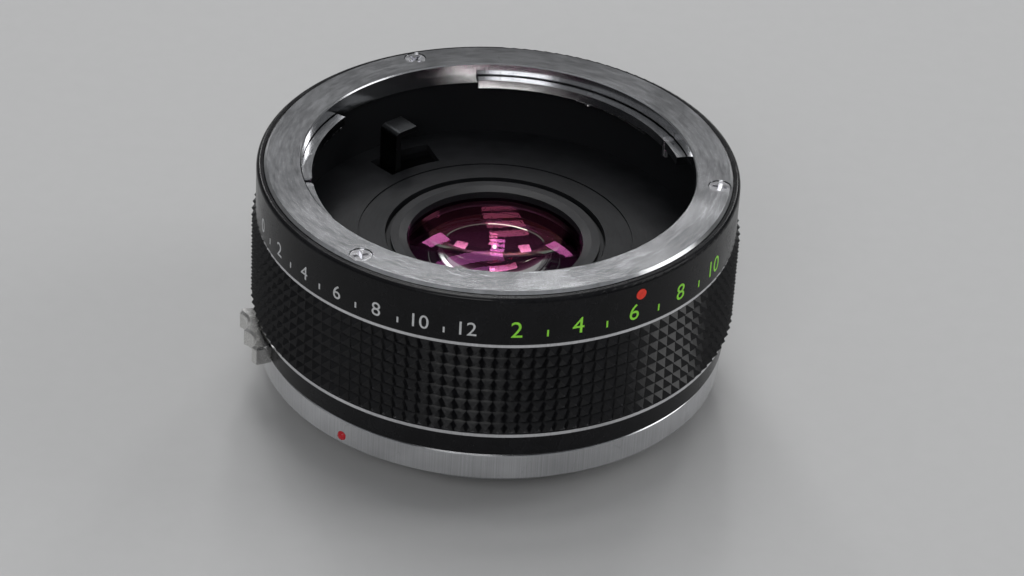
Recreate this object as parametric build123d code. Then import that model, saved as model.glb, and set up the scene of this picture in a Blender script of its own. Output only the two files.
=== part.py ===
from build123d import *
import math
import os

os.makedirs("parts", exist_ok=True)

# Camera teleconverter, in millimetres. The origin is on the optical axis, in the seat
# plane of the rear flange. +Z points at the lens that the converter takes. Angles are
# in degrees about +Z, counted from +X.

# General fits
fit_gap = 0.05
running_gap = 0.05
slide_gap = 0.1
free_gap = 0.3
overrun = 1.0

# Heights of the outer stack, from the rear flange up
flange_thickness = 3.6
rear_band_height = 3.2
trim_thickness = 0.45
knurl_rows = 8
knurl_row_height = 1.655
front_band_height = 6.75
face_proud = 0.4
floor_depth = 11.25
floor_thickness = 1.0
ledge_thickness = 1.2
web_thickness = 1.5

# Lenses and the rings between them. A hollow face has a negative curve.
lens_radius = 12.4
lens_land = 1.1
spacer_width = 1.0
front_rim = 2.0
front_gap = 3.49
second_rim = 3.4
middle_gap = 1.7
third_rim = 1.2
rear_gap = 2.7
rear_rim = 2.4
front_lens_curves = (32.0, 56.0)
second_lens_curves = (-90.0, -55.0)
third_lens_curves = (30.0, 45.0)
rear_lens_curves = (-40.0, 30.0)

# Lens cell and its two threaded rings
thread_step = 0.6
cell_wall = 1.2
cell_flange_width = 2.2
cell_flange_thickness = 1.05
cell_top_depth = 0.75
front_ring_grip = 0.7
bezel_depth = 0.14
bezel_step = 0.5
bezel_flat = 1.1
bezel_cover = 0.75
bezel_lip = 0.35
rear_ring_thickness = 1.9
rear_ring_cover = 0.9
spanner_slot_width = 0.9
spanner_slot_depth = 0.7

# Floor of the front chamber
floor_hole_gap = 0.25
floor_line_offset = 3.7
floor_line_width = 0.3
floor_line_depth = 0.2
floor_slot_gap = 0.25
floor_slot_outer_gap = 0.9
ledge_width = 1.8

# Hub of the rear barrel
hub_wall = 5.0
hub_shoulder_width = 1.2
hub_tail_wall = 2.3
hub_tail_length = 4.4
coupling_rise = 3.9

# Aperture coupling
coupling_ring_width = 3.6
coupling_ring_thickness = 3.0
clip_thickness = 0.6
clip_width = 0.6
clip_groove_depth = 0.7
clip_opening_angle = 14
coupling_travel_angle = 15
lever_angle = 132.6
lever_thickness = 0.9
lever_inset = 0.8
lever_overhang = 0.5
lever_depth_below_face = 5.25
lever_tab_length = 3.5
lever_tab_thickness = 0.85
lever_bend_radius = 0.8
foot_thickness = 0.8
foot_inset = 1.55
foot_angle = 22
foot_screw_shares = (0.42, 0.78)
foot_screw_radius = 0.5
foot_screw_head_radius = 0.95
foot_screw_head_height = 0.6
foot_screw_length = 1.9
rear_lever_inset = 0.6
rear_lever_reach = 4.6
blade_end_round = 0.4
slot_end_angle = 2.2

# Return spring of the coupling ring
anchor_angle = 92
hook_angle = 64
post_offset = 2.3
post_radius = 0.5
hook_drop = 0.85
hook_radius = 0.8
spring_wire_radius = 0.15
return_spring_turns = 11
coil_end_gap = 1.2
ear_radius = 0.95
ear_thickness = 1.2

# Rear bayonet
rear_tube_wall = 1.4
rear_tube_length = 4.95
rear_lug_reach = 1.4
rear_lug_thickness = 1.25
rear_lug_centre_angles = [51, 166, 279.5]
rear_lug_angle = 44
rear_pilot_step = 0.2
rear_pilot_length = 1.2

# Front bayonet
mount_plate_thickness = 1.9
front_lug_depth = 1.8
front_lug_thickness = 1.2
front_lug_start_angles = [149, 16, -94]
front_lug_sweep_angles = [62, 82, 62]
throat_land = 1.45
throat_undercut = 0.6
spigot_wall = 1.6
spigot_depth = 3.3
chamber_step = 1.1
face_chamfer = 0.35
throat_chamfer = 0.15

# Leaf springs under the front lugs
leaf_start_angles = [150, 38, -74]
leaf_sweep_angle = 28
leaf_thickness = 0.2
leaf_foot_angle = 8
leaf_droop_angle = 2.3
leaf_inset = 0.15
rivet_radius = 0.45
rivet_head_radius = 0.7
rivet_head_height = 0.2

# Stop pin that ends the lens's turn
stop_pin_angle = 27
stop_pin_radius = 0.75
stop_pin_reach = 1.25

# Lens lock
release_travel_angle = 8
lock_travel = 2.3
lock_angle = -169.7
lock_inset = 0.65
lock_pin_radius = 0.8
lock_pin_depth = 2.3
lock_notch_width = 2.1
lock_foot_reach = 2.05
lock_foot_thickness = 0.8
lock_collar_radius = 1.35
lock_collar_thickness = 0.6
lock_spring_radius = 1.15
lock_spring_turns = 4.5
shelf_thickness = 1.2
shelf_reach = 1.55
shelf_gap = 0.2
guide_reach = 1.45
guide_width = 3.4
guide_share = 0.56

# Walls from the cavity outwards
neck_wall = 2.3
skirt_wall = 1.5
flange_step = 0.45
rear_band_step = 0.7
trim_step = 1.05
grip_wall = 0.9
knurl_depth = 0.8
knurl_columns = 122
front_band_step = 1.1
rim_width = 1.0
rim_round = 0.55
rim_gap = 0.12
band_chamfer = 0.25
flange_chamfer = 0.25

# Release lever
thumb_start_angle = -155.3
thumb_end_angle = -172.7
thumb_shoulder_angle = 1.7
thumb_headroom = 0.6
thumb_valley_step = 1.55
thumb_peak_step = 2.45
thumb_corner_step = 2.15
thumb_peak_angle = 7
thumb_scallops = 2
thumb_edge_chamfer = 0.3
lever_roof_gap = 0.12
cam_rise = 2.1
cam_roof = 0.7
cam_gap = 0.25
cam_end_angle = 2.7

# Screws through the front face
face_screw_inset = 1.7
face_screw_angles = [-125.1, -5.6, 115]
face_screw_radius = 0.85
face_screw_head_radius = 1.4
face_screw_head_height = 0.9
face_screw_length = 6.0
screw_sink = 0.14
screw_head_gap = 0.09
recess_width = 0.48
recess_span = 1.9
recess_depth = 0.6

# Screws through the rear flange
rear_screw_angles = [35, 125, 215, 305]
rear_screw_radius = 0.9
rear_screw_head_radius = 1.6
rear_screw_head_height = 0.95
rear_screw_length = 7.5

# Screws that join the two barrels, under the grip
joint_screw_angles = [30, 150, 270]
joint_screw_radius = 0.7
joint_screw_head_radius = 1.35
joint_screw_head_height = 0.7
joint_screw_length = 3.2

# Front index dot and rear index bead
dot_angle = -53.9
dot_depth_below_face = 2.45
dot_radius = 0.75
dot_inlay = 0.3
dot_proud = 0.03
bead_angle = -126.4
bead_height = 1.05
bead_radius = 0.65
bead_stem_radius = 0.45
bead_stem_length = 1.1
bead_proud = 0.45

# Rear shroud round the rear lens
shroud_gap = 0.2
shroud_plate_thickness = 1.0
shroud_tube_step = 3.9
shroud_tube_wall = 1.0
shroud_reach = 3.8
shroud_screw_angles = [90, 210, 330]
shroud_screw_radius = 0.5
shroud_screw_head_radius = 0.95
shroud_screw_head_height = 0.45
shroud_screw_length = 2.6

# Radii worked out from the lens outwards
lens_clear_radius = lens_radius - lens_land
spacer_opening = lens_radius - spacer_width
rear_ring_opening = lens_radius - rear_ring_cover
bezel_opening = lens_radius - bezel_cover
cell_bore = lens_radius + slide_gap
cell_thread_radius = cell_bore + thread_step
cell_radius = cell_thread_radius + cell_wall
cell_flange_radius = cell_radius + cell_flange_width
bezel_radius = cell_radius - bezel_step
bezel_flat_radius = bezel_radius - bezel_flat
floor_hole_radius = cell_radius + floor_hole_gap
floor_line_radius = cell_radius + floor_line_offset
hub_radius = cell_radius + hub_wall
hub_shoulder_radius = hub_radius + hub_shoulder_width
hub_tail_radius = cell_radius + hub_tail_wall
shroud_bore = cell_radius + shroud_gap
shroud_tube_radius = cell_radius + shroud_tube_step
shroud_screw_circle = (shroud_bore + hub_tail_radius) / 2
clip_groove_radius = hub_radius - clip_groove_depth
clip_radius = hub_radius + clip_width
coupling_ring_radius = hub_radius + coupling_ring_width
foot_inner_radius = hub_radius + foot_inset
lever_inner_radius = hub_radius + lever_inset
lever_outer_radius = coupling_ring_radius + lever_overhang
rear_lever_outer_radius = coupling_ring_radius - rear_lever_inset
floor_slot_inner_radius = lever_inner_radius - floor_slot_gap
floor_slot_outer_radius = lever_outer_radius + floor_slot_outer_gap
post_circle = coupling_ring_radius + post_offset
rear_tube_bore = rear_lever_outer_radius + free_gap
shroud_plate_radius = rear_tube_bore - shroud_gap
rear_tube_radius = rear_tube_bore + rear_tube_wall
rear_lug_radius = rear_tube_radius + rear_lug_reach
rear_pilot_radius = rear_lug_radius + rear_pilot_step
front_lug_radius = rear_tube_radius + free_gap
throat_radius = rear_pilot_radius + slide_gap
undercut_radius = throat_radius + throat_undercut
spigot_radius = throat_radius + spigot_wall
chamber_radius = throat_radius + chamber_step
lug_circle = (throat_radius + front_lug_radius) / 2
lock_circle = front_lug_radius + lock_inset
lock_foot_radius = lock_circle + lock_foot_reach
shelf_inner_radius = lock_circle - shelf_reach
guide_inner_radius = lock_circle - guide_reach
cavity_radius = lock_circle + lock_collar_radius + free_gap
neck_radius = cavity_radius + neck_wall
rear_screw_circle = (cavity_radius + neck_radius) / 2
barrel_radius = neck_radius + skirt_wall
flange_radius = barrel_radius + flange_step
rear_band_radius = barrel_radius + rear_band_step
trim_radius = barrel_radius + trim_step
knurl_root_radius = barrel_radius + grip_wall
front_band_radius = barrel_radius + front_band_step
face_radius = front_band_radius - rim_width
face_screw_circle = face_radius - face_screw_inset
thumb_valley_radius = rear_band_radius + thumb_valley_step
thumb_peak_radius = rear_band_radius + thumb_peak_step
thumb_corner_radius = rear_band_radius + thumb_corner_step
cam_inner_radius = lock_circle + lock_pin_radius + cam_gap
plate_inner_radius = lock_foot_radius + free_gap
cam_radius = (cam_inner_radius + lock_foot_radius) / 2

# Heights worked out from the stack
shoulder_height = flange_thickness + rear_band_height
grip_bottom = shoulder_height + trim_thickness
grip_top = grip_bottom + knurl_rows * knurl_row_height
band_bottom = grip_top + trim_thickness
rim_height = band_bottom + front_band_height
face_height = rim_height + face_proud
plate_seat = face_height - mount_plate_thickness
spigot_bottom = face_height - spigot_depth
lug_top = face_height - front_lug_depth
lug_bottom = lug_top - front_lug_thickness
throat_land_bottom = face_height - throat_chamfer - throat_land
rear_lug_drop = front_lug_depth + front_lug_thickness + fit_gap
floor_height = face_height - floor_depth
floor_bottom = floor_height - floor_thickness
ledge_bottom = floor_bottom - ledge_thickness
joint_screw_height = (shoulder_height + ledge_bottom) / 2
hub_top_height = floor_bottom - slide_gap - cell_flange_thickness
cell_top_height = floor_height - cell_top_depth
front_ring_seat = cell_top_height - front_ring_grip
bezel_height = floor_height - bezel_depth
front_level = front_ring_seat - front_rim
second_level = front_level - front_gap - second_rim
third_level = second_level - middle_gap - third_rim
rear_level = third_level - rear_gap - rear_rim
cell_bottom_height = rear_level - rear_ring_thickness
web_top = flange_thickness + web_thickness
hub_tail_bottom = flange_thickness - hub_tail_length
shroud_bottom = hub_tail_bottom - shroud_plate_thickness - shroud_reach
ring_seat_height = web_top + coupling_rise
ring_bottom = ring_seat_height + running_gap
ring_top = ring_bottom + coupling_ring_thickness
clip_bottom = ring_top + running_gap
hook_height = ring_top - hook_drop
post_top = hook_height + hook_radius
lock_top = face_height - lock_pin_depth
thumb_bottom = flange_thickness + slide_gap
thumb_top = shoulder_height - thumb_headroom
thumb_thickness = thumb_top - thumb_bottom
roof_height = thumb_top + lever_roof_gap
cam_top_height = thumb_top + cam_rise
shelf_height = cam_top_height + shelf_gap + shelf_thickness
collar_bottom = ledge_bottom - free_gap - lock_collar_thickness
lock_spring_low = shelf_height + fit_gap
lock_spring_high = collar_bottom - fit_gap
guide_height = floor_depth * guide_share
lever_half_angle = math.degrees(lever_thickness / 2 / foot_inner_radius)
cam_slope = lock_travel / (cam_radius * math.radians(release_travel_angle))
cam_start_height = cam_top_height - cam_roof
foot_top = cam_start_height - cam_slope * lock_pin_radius - running_gap


def turned(points):
    """A solid of revolution about the optical axis from (radius, height) points."""
    return revolve(Plane.XZ * make_face(Polyline(*points, close=True)), Axis.Z)


def tube(outer, inner, low, high):
    """A plain tube about the optical axis."""
    return Pos(0, 0, low) * extrude(Circle(outer) - Circle(inner), high - low)


def disc(radius, low, high):
    """A plain disc about the optical axis."""
    return Pos(0, 0, low) * extrude(Circle(radius), high - low)


def sector(outer, inner, low, high, start, end):
    """A piece of a tube between two angles."""
    first, last = min(start, end), max(start, end)
    outer_arc = CenterArc((0, 0), outer, first, last - first)
    inner_arc = CenterArc((0, 0), inner, first, last - first)
    sides = [Line(outer_arc @ 0, inner_arc @ 0), Line(outer_arc @ 1, inner_arc @ 1)]
    return Pos(0, 0, low) * extrude(make_face([outer_arc, inner_arc] + sides), high - low)


def at(radius, angle, height=0):
    """A place on a circle about the optical axis, turned to face outwards."""
    return Rot(0, 0, angle) * Pos(radius, 0, height)


def upright(radius, low, high):
    """A cylinder along Z on its own local axis."""
    return Pos(0, 0, low) * extrude(Circle(radius), high - low)


def cross_recess(head_radius):
    """The cross-shaped driver recess, with its top at height zero."""
    span = min(recess_span, head_radius + head_radius - recess_width)
    bar = Box(span, recess_width, recess_depth, align=(Align.CENTER, Align.CENTER, Align.MAX))
    return bar + Rot(0, 0, 90) * bar


def flat_screw(radius, head_radius, head_height, length):
    """A countersunk screw that points down, with the top of its head at height zero."""
    lip = head_height * 0.2
    profile = [(0, 0), (head_radius, 0), (head_radius, -lip), (radius, -head_height)]
    profile += [(radius, -length), (0, -length)]
    return turned(profile) - cross_recess(head_radius)


def flat_screw_hole(radius, head_radius, head_height, length, sink):
    """The hole that takes such a screw, open upwards, sunk below the surface."""
    lip = head_height * 0.2
    wide = head_radius + screw_head_gap
    narrow = radius + fit_gap
    profile = [(0, overrun), (wide, overrun), (wide, -lip - sink - fit_gap)]
    profile += [(narrow, -head_height - sink - fit_gap), (narrow, -length - sink - fit_gap)]
    profile += [(0, -length - sink - fit_gap)]
    return turned(profile)


def cheese_screw(radius, head_radius, head_height, length):
    """A small slotted screw that points down, with its head standing on height zero."""
    body = upright(head_radius, 0, head_height) + upright(radius, -length, 0)
    slot = Box(head_radius * 3, head_radius * 0.35, head_height * 0.5)
    return body - Pos(0, 0, head_height) * slot


def arc_pair(start, start_way, end, end_way):
    """Two arcs that leave one point along one direction and reach another along a second."""
    span = end - start
    ways = start_way + end_way
    turn = 2 * (1 - start_way.dot(end_way))
    along = span.dot(ways)
    if turn < 1e-9:
        reach = span.length / 2
    else:
        reach = (math.sqrt(along * along + turn * span.dot(span)) - along) / turn
    first_corner = start + start_way * reach
    second_corner = end - end_way * reach
    middle = (first_corner + second_corner) / 2
    middle_way = (second_corner - first_corner).normalized()
    first = TangentArc(start, middle, tangent=start_way)
    second = TangentArc(middle, end, tangent=middle_way)
    return [first.edge(), second.edge()]


def coil_stations(radius, low, high, turns, steps=4):
    """Points and directions along a coil about the local Z axis."""
    stations = []
    count = round(turns * steps)
    climb = (high - low) / (turns * 2 * math.pi)
    for i in range(count + 1):
        turn = i * 2 * math.pi / steps
        place = Vector(radius * math.cos(turn), radius * math.sin(turn), low + climb * turn)
        way = Vector(-radius * math.sin(turn), radius * math.cos(turn), climb).normalized()
        stations.append((place, way))
    return stations


def bent_wire(stations, wire_radius):
    """One round wire through the stations, with its least gap to itself."""
    edges = []
    for (start, start_way), (end, end_way) in zip(stations, stations[1:]):
        edges += arc_pair(start, start_way, end, end_way)
    first_place, first_way = stations[0]
    section = Plane(origin=first_place, z_dir=first_way) * Circle(wire_radius)
    return sweep(section, path=Wire(edges))


def save(node, *solids):
    """Write one node, which may be a group of separate solids."""
    shape = solids[0] if len(solids) == 1 else Compound(list(solids))
    export_step(shape, f"parts/{node}.step")


def front_mount_ring():
    profile = [
        (undercut_radius, spigot_bottom),
        (spigot_radius, spigot_bottom),
        (spigot_radius, plate_seat),
        (face_radius, plate_seat),
        (face_radius, face_height - face_chamfer),
        (face_radius - face_chamfer, face_height),
        (throat_radius + throat_chamfer, face_height),
        (throat_radius, face_height - throat_chamfer),
        (throat_radius, throat_land_bottom),
        (undercut_radius, throat_land_bottom),
    ]
    ring = turned(profile)
    for start, sweep in zip(front_lug_start_angles, front_lug_sweep_angles):
        ring += sector(undercut_radius + fit_gap, front_lug_radius, lug_bottom, lug_top,
                       start, start + sweep)
    hole = flat_screw_hole(face_screw_radius, face_screw_head_radius, face_screw_head_height,
                           face_screw_length, screw_sink)
    for angle in face_screw_angles:
        ring -= at(face_screw_circle, angle, face_height) * hole
    notch_length = undercut_radius - front_lug_radius + overrun
    notch = Box(notch_length, lock_notch_width, front_lug_thickness + overrun,
                align=(Align.MAX, Align.CENTER, Align.MAX))
    ring -= at(undercut_radius, lock_angle, lug_top) * notch
    pin_hole = upright(stop_pin_radius + fit_gap, lug_bottom - overrun, lug_top + overrun)
    ring -= at(lug_circle, stop_pin_angle) * pin_hole
    rivet_hole = upright(rivet_radius + fit_gap, lug_bottom - overrun, lug_top + overrun)
    for place in rivet_places():
        ring -= place * rivet_hole
    return ring


def stop_pin():
    return at(lug_circle, stop_pin_angle) * upright(
        stop_pin_radius, lug_bottom - stop_pin_reach, lug_top)


def leaf_end_angles():
    return [start + leaf_sweep_angle for start in leaf_start_angles]


def rivet_places():
    return [at(lug_circle, end - leaf_foot_angle / 2) for end in leaf_end_angles()]


def leaf_spring(end):
    outer = throat_radius - leaf_inset
    inner = front_lug_radius + leaf_inset
    low = lug_bottom - leaf_thickness
    bend = end - leaf_foot_angle
    foot = sector(outer, inner, low, lug_bottom, bend, end)
    finger = sector(outer, inner, -leaf_thickness, 0, leaf_foot_angle - leaf_sweep_angle, 0)
    bent = Pos(0, 0, lug_bottom) * Rot(leaf_droop_angle, 0, 0) * finger
    spring = foot + Rot(0, 0, bend) * bent
    hole = upright(rivet_radius + fit_gap, low - overrun, lug_bottom + overrun)
    return spring - at(lug_circle, end - leaf_foot_angle / 2) * hole


def spring_rivets():
    low = lug_bottom - leaf_thickness
    shank = upright(rivet_radius, low, lug_top)
    head = upright(rivet_head_radius, low - rivet_head_height, low)
    return [place * (shank + head) for place in rivet_places()]


def face_screws():
    screw = flat_screw(face_screw_radius, face_screw_head_radius, face_screw_head_height,
                       face_screw_length)
    top = face_height - screw_sink
    return [at(face_screw_circle, angle, top) * Rot(0, 0, angle) * screw
            for angle in face_screw_angles]


def front_barrel():
    bore = neck_radius + fit_gap
    recess = face_radius + rim_gap
    profile = [
        (bore, shoulder_height),
        (barrel_radius, shoulder_height),
        (barrel_radius, band_bottom),
        (front_band_radius, band_bottom),
        (front_band_radius, rim_height),
        (recess, rim_height),
        (recess, plate_seat),
        (spigot_radius + fit_gap, plate_seat),
        (spigot_radius + fit_gap, spigot_bottom - fit_gap),
        (chamber_radius, spigot_bottom - fit_gap),
        (chamber_radius, floor_bottom),
        (chamber_radius - ledge_width, floor_bottom),
        (chamber_radius - ledge_width, ledge_bottom),
        (bore, ledge_bottom),
    ]
    barrel = turned(profile)
    rim = barrel.edges().filter_by(GeomType.CIRCLE).filter_by_position(
        Axis.Z, rim_height - fit_gap, rim_height + fit_gap).sort_by(SortBy.RADIUS)[-1]
    barrel = fillet(rim, rim_round)
    guide_length = chamber_radius - guide_inner_radius + free_gap
    guide = Box(guide_length, guide_width, guide_height,
                align=(Align.MIN, Align.CENTER, Align.MIN))
    barrel += at(guide_inner_radius, lock_angle, floor_height) * guide
    bore_tool = upright(lock_pin_radius + running_gap, ledge_bottom - overrun,
                        floor_height + guide_height + overrun)
    barrel -= at(lock_circle, lock_angle) * bore_tool
    hole = flat_screw_hole(face_screw_radius, face_screw_head_radius, face_screw_head_height,
                           face_screw_length, screw_sink)
    for angle in face_screw_angles:
        barrel -= at(face_screw_circle, angle, face_height) * hole
    joint = flat_screw_hole(joint_screw_radius, joint_screw_head_radius,
                            joint_screw_head_height, joint_screw_length, screw_sink)
    for place in joint_screw_places():
        barrel -= place * joint
    barrel -= dot_tool(dot_radius + fit_gap / 2, dot_inlay + fit_gap / 2)
    return barrel


def joint_screw_places():
    """Places on the barrel's wall with local Z pointing outwards."""
    return [at(barrel_radius, angle, joint_screw_height) * Rot(0, 90, 0)
            for angle in joint_screw_angles]


def barrel_screws():
    screw = flat_screw(joint_screw_radius, joint_screw_head_radius,
                       joint_screw_head_height, joint_screw_length)
    return [place * Pos(0, 0, -screw_sink) * screw for place in joint_screw_places()]


def dot_tool(radius, depth):
    """A radial plug from a depth under the band to well outside it."""
    plug = upright(radius, -depth, overrun)
    return at(front_band_radius, dot_angle, face_height - dot_depth_below_face) * (
        Rot(0, 90, 0) * plug)


def front_index_dot():
    shell = tube(front_band_radius + dot_proud, front_band_radius - dot_inlay,
                 band_bottom, rim_height)
    return dot_tool(dot_radius, dot_inlay + overrun) & shell


def trim_ring(low):
    return tube(trim_radius, barrel_radius + fit_gap, low, low + trim_thickness)


def grip_sleeve():
    """Square pyramids: ridges turned round the sleeve, cut by ridges along it."""
    bore = barrel_radius + fit_gap
    tip = knurl_root_radius + knurl_depth
    profile = [(bore, grip_bottom)]
    for row in range(knurl_rows):
        low = grip_bottom + row * knurl_row_height
        profile += [(knurl_root_radius, low), (tip, low + knurl_row_height / 2)]
    profile += [(knurl_root_radius, grip_top), (bore, grip_top)]
    star = []
    for column in range(knurl_columns):
        valley = 2 * math.pi * column / knurl_columns
        ridge = 2 * math.pi * (column + 0.5) / knurl_columns
        star.append((knurl_root_radius * math.cos(valley), knurl_root_radius * math.sin(valley)))
        star.append((tip * math.cos(ridge), tip * math.sin(ridge)))
    prism = extrude(make_face(Polyline(*star, close=True)), grip_top - grip_bottom)
    return turned(profile) & Pos(0, 0, grip_bottom) * prism


def rear_barrel():
    hub_bore = cell_radius + fit_gap
    groove_low = clip_bottom - fit_gap / 2
    groove_high = clip_bottom + clip_thickness + fit_gap
    profile = [
        (hub_bore, hub_tail_bottom),
        (hub_tail_radius, hub_tail_bottom),
        (hub_tail_radius, flange_thickness),
        (rear_band_radius - band_chamfer, flange_thickness),
        (rear_band_radius, flange_thickness + band_chamfer),
        (rear_band_radius, shoulder_height),
        (neck_radius, shoulder_height),
        (neck_radius, ledge_bottom),
        (cavity_radius, ledge_bottom),
        (cavity_radius, web_top),
        (hub_shoulder_radius, web_top),
        (hub_shoulder_radius, ring_seat_height),
        (hub_radius, ring_seat_height),
        (hub_radius, groove_low),
        (clip_groove_radius, groove_low),
        (clip_groove_radius, groove_high),
        (hub_radius, groove_high),
        (hub_radius, hub_top_height),
        (hub_bore, hub_top_height),
    ]
    barrel = turned(profile)
    shelf_half = math.degrees(guide_width / 2 / lock_circle)
    barrel += sector(cavity_radius + fit_gap, shelf_inner_radius, shelf_height - shelf_thickness,
                     shelf_height, lock_angle - shelf_half, lock_angle + shelf_half)
    barrel -= at(lock_circle, lock_angle) * upright(
        lock_pin_radius + running_gap, web_top, shelf_height + overrun)
    first = thumb_start_angle - thumb_shoulder_angle + slot_end_angle / 4
    last = thumb_end_angle + thumb_shoulder_angle - release_travel_angle - slot_end_angle / 4
    inner = shelf_inner_radius + fit_gap
    barrel -= sector(rear_band_radius + overrun, inner, flange_thickness - overrun, roof_height,
                     first, last)
    barrel -= sector(neck_radius + fit_gap, cam_inner_radius - free_gap, roof_height - fit_gap,
                     cam_top_height + slide_gap, first, last)
    slot_inner = hub_shoulder_radius + slide_gap
    barrel -= sector(coupling_ring_radius + free_gap, slot_inner, flange_thickness - overrun,
                     web_top + overrun, *coupling_slot())
    hole = flat_screw_hole(rear_screw_radius, rear_screw_head_radius, rear_screw_head_height,
                           rear_screw_length, screw_sink)
    for angle in rear_screw_angles:
        barrel -= at(rear_screw_circle, angle) * Rot(180, 0, 0) * hole
    joint = flat_screw_hole(joint_screw_radius, joint_screw_head_radius,
                            joint_screw_head_height, joint_screw_length, screw_sink)
    for place in joint_screw_places():
        barrel -= place * joint
    thread = upright(shroud_screw_radius + fit_gap, hub_tail_bottom - overrun,
                     hub_tail_bottom + shroud_screw_length - shroud_plate_thickness)
    for angle in shroud_screw_angles:
        barrel -= at(shroud_screw_circle, angle) * thread
    post = upright(post_radius, web_top - fit_gap, post_top)
    return barrel + at(post_circle, anchor_angle) * post


def coupling_slot():
    """The two ends of the slots that the coupling levers swing in."""
    return (lever_angle - coupling_travel_angle - lever_half_angle - slot_end_angle,
            lever_angle + lever_half_angle + slot_end_angle)


def rear_mount_ring():
    profile = [
        (rear_tube_bore, -rear_tube_length),
        (rear_tube_radius, -rear_tube_length),
        (rear_tube_radius, -rear_pilot_length),
        (rear_pilot_radius, -rear_pilot_length),
        (rear_pilot_radius, 0),
        (flange_radius, 0),
        (flange_radius, flange_thickness - flange_chamfer),
        (flange_radius - flange_chamfer, flange_thickness),
        (rear_tube_bore, flange_thickness),
    ]
    ring = turned(profile)
    top = -rear_lug_drop
    for centre in rear_lug_centre_angles:
        ring += sector(rear_lug_radius, rear_tube_radius - fit_gap, top - rear_lug_thickness, top,
                       centre - rear_lug_angle / 2, centre + rear_lug_angle / 2)
    hole = flat_screw_hole(rear_screw_radius, rear_screw_head_radius, rear_screw_head_height,
                           rear_screw_length, screw_sink)
    for angle in rear_screw_angles:
        ring -= at(rear_screw_circle, angle) * Rot(180, 0, 0) * hole
    return ring - bead_place() * upright(bead_stem_radius + fit_gap / 2,
                                         -bead_stem_length - fit_gap, overrun)


def bead_place():
    return at(flange_radius, bead_angle, bead_height) * Rot(0, 90, 0)


def rear_index_bead():
    """A domed bead on a short stem, seated in the side of the flange."""
    rise = (bead_radius * bead_radius + bead_proud * bead_proud) / (2 * bead_proud)
    foot = flange_radius - math.sqrt(flange_radius ** 2 - bead_radius ** 2)
    ball = Pos(0, 0, bead_proud - rise) * Sphere(rise)
    dome = ball & upright(bead_radius, -foot - fit_gap, bead_proud + overrun)
    dome -= bead_place().inverse() * disc(flange_radius, -overrun, flange_thickness)
    stem = upright(bead_stem_radius, -bead_stem_length, fit_gap)
    return bead_place() * (dome + stem)


def rear_screws():
    screw = flat_screw(rear_screw_radius, rear_screw_head_radius, rear_screw_head_height,
                       rear_screw_length)
    return [at(rear_screw_circle, angle, screw_sink) * Rot(180, 0, 0) * screw
            for angle in rear_screw_angles]


def front_baffle():
    plate = tube(chamber_radius - fit_gap, floor_hole_radius, floor_bottom, floor_height)
    line = floor_line_width / 2
    plate -= tube(floor_line_radius + line, floor_line_radius - line,
                  floor_height - floor_line_depth, floor_height + overrun)
    plate -= sector(floor_slot_outer_radius, floor_slot_inner_radius, floor_bottom - overrun,
                    floor_height + overrun, *coupling_slot())
    hole = upright(lock_pin_radius + slide_gap, floor_bottom - overrun, floor_height + overrun)
    return plate - at(lock_circle, lock_angle) * hole


def lens_cell():
    flange_top = hub_top_height + cell_flange_thickness
    front_step = front_ring_seat - free_gap
    rear_step = rear_level + free_gap
    profile = [
        (cell_bore, rear_step),
        (cell_thread_radius, rear_step),
        (cell_thread_radius, cell_bottom_height),
        (cell_radius, cell_bottom_height),
        (cell_radius, hub_top_height),
        (cell_flange_radius, hub_top_height),
        (cell_flange_radius, flange_top),
        (cell_radius, flange_top),
        (cell_radius, cell_top_height),
        (cell_thread_radius, cell_top_height),
        (cell_thread_radius, front_step),
        (cell_bore, front_step),
    ]
    return turned(profile)


def front_lens_ring():
    thread = cell_thread_radius - fit_gap
    profile = [
        (bezel_opening, front_ring_seat),
        (thread, front_ring_seat),
        (thread, cell_top_height),
        (bezel_radius, cell_top_height),
        (bezel_radius, bezel_height),
        (bezel_flat_radius, bezel_height),
        (bezel_opening, bezel_height - bezel_lip),
    ]
    return turned(profile)


def rear_lens_ring():
    thread = cell_thread_radius - fit_gap
    ring = tube(thread, rear_ring_opening, cell_bottom_height,
                cell_bottom_height + rear_ring_thickness)
    slot = Box(cell_thread_radius * 3, spanner_slot_width, spanner_slot_depth * 2)
    return ring - Pos(0, 0, cell_bottom_height) * slot


def lens(low, rim, front_curve, rear_curve):
    """One element with a flat land round each face. A negative curve is hollow."""
    body = disc(lens_radius, low, low + rim)
    for level, curve, way in ((low + rim, front_curve, 1), (low, rear_curve, -1)):
        radius = abs(curve)
        sag = radius - math.sqrt(radius * radius - lens_clear_radius * lens_clear_radius)
        if curve > 0:
            ball = Pos(0, 0, level + way * (sag - radius)) * Sphere(radius)
            cap = disc(lens_clear_radius, min(level, level + way * (sag + sag)),
                       max(level, level + way * (sag + sag)))
            body += cap & ball
        else:
            ball = Pos(0, 0, level + way * (radius - sag)) * Sphere(radius)
            body -= ball
    return body


def spacer(low, high):
    return tube(lens_radius, spacer_opening, low, high)


def rear_shroud():
    top = hub_tail_bottom
    plate_bottom = top - shroud_plate_thickness
    shroud = tube(shroud_plate_radius, shroud_bore, plate_bottom, top)
    shroud += tube(shroud_tube_radius, shroud_tube_radius - shroud_tube_wall, shroud_bottom,
                   plate_bottom + fit_gap)
    shroud -= sector(shroud_plate_radius + overrun, hub_shoulder_radius, plate_bottom - overrun,
                     top + overrun, *coupling_slot())
    hole = upright(shroud_screw_radius + fit_gap, plate_bottom - overrun, top + overrun)
    for angle in shroud_screw_angles:
        shroud -= at(shroud_screw_circle, angle) * hole
    return shroud


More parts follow.
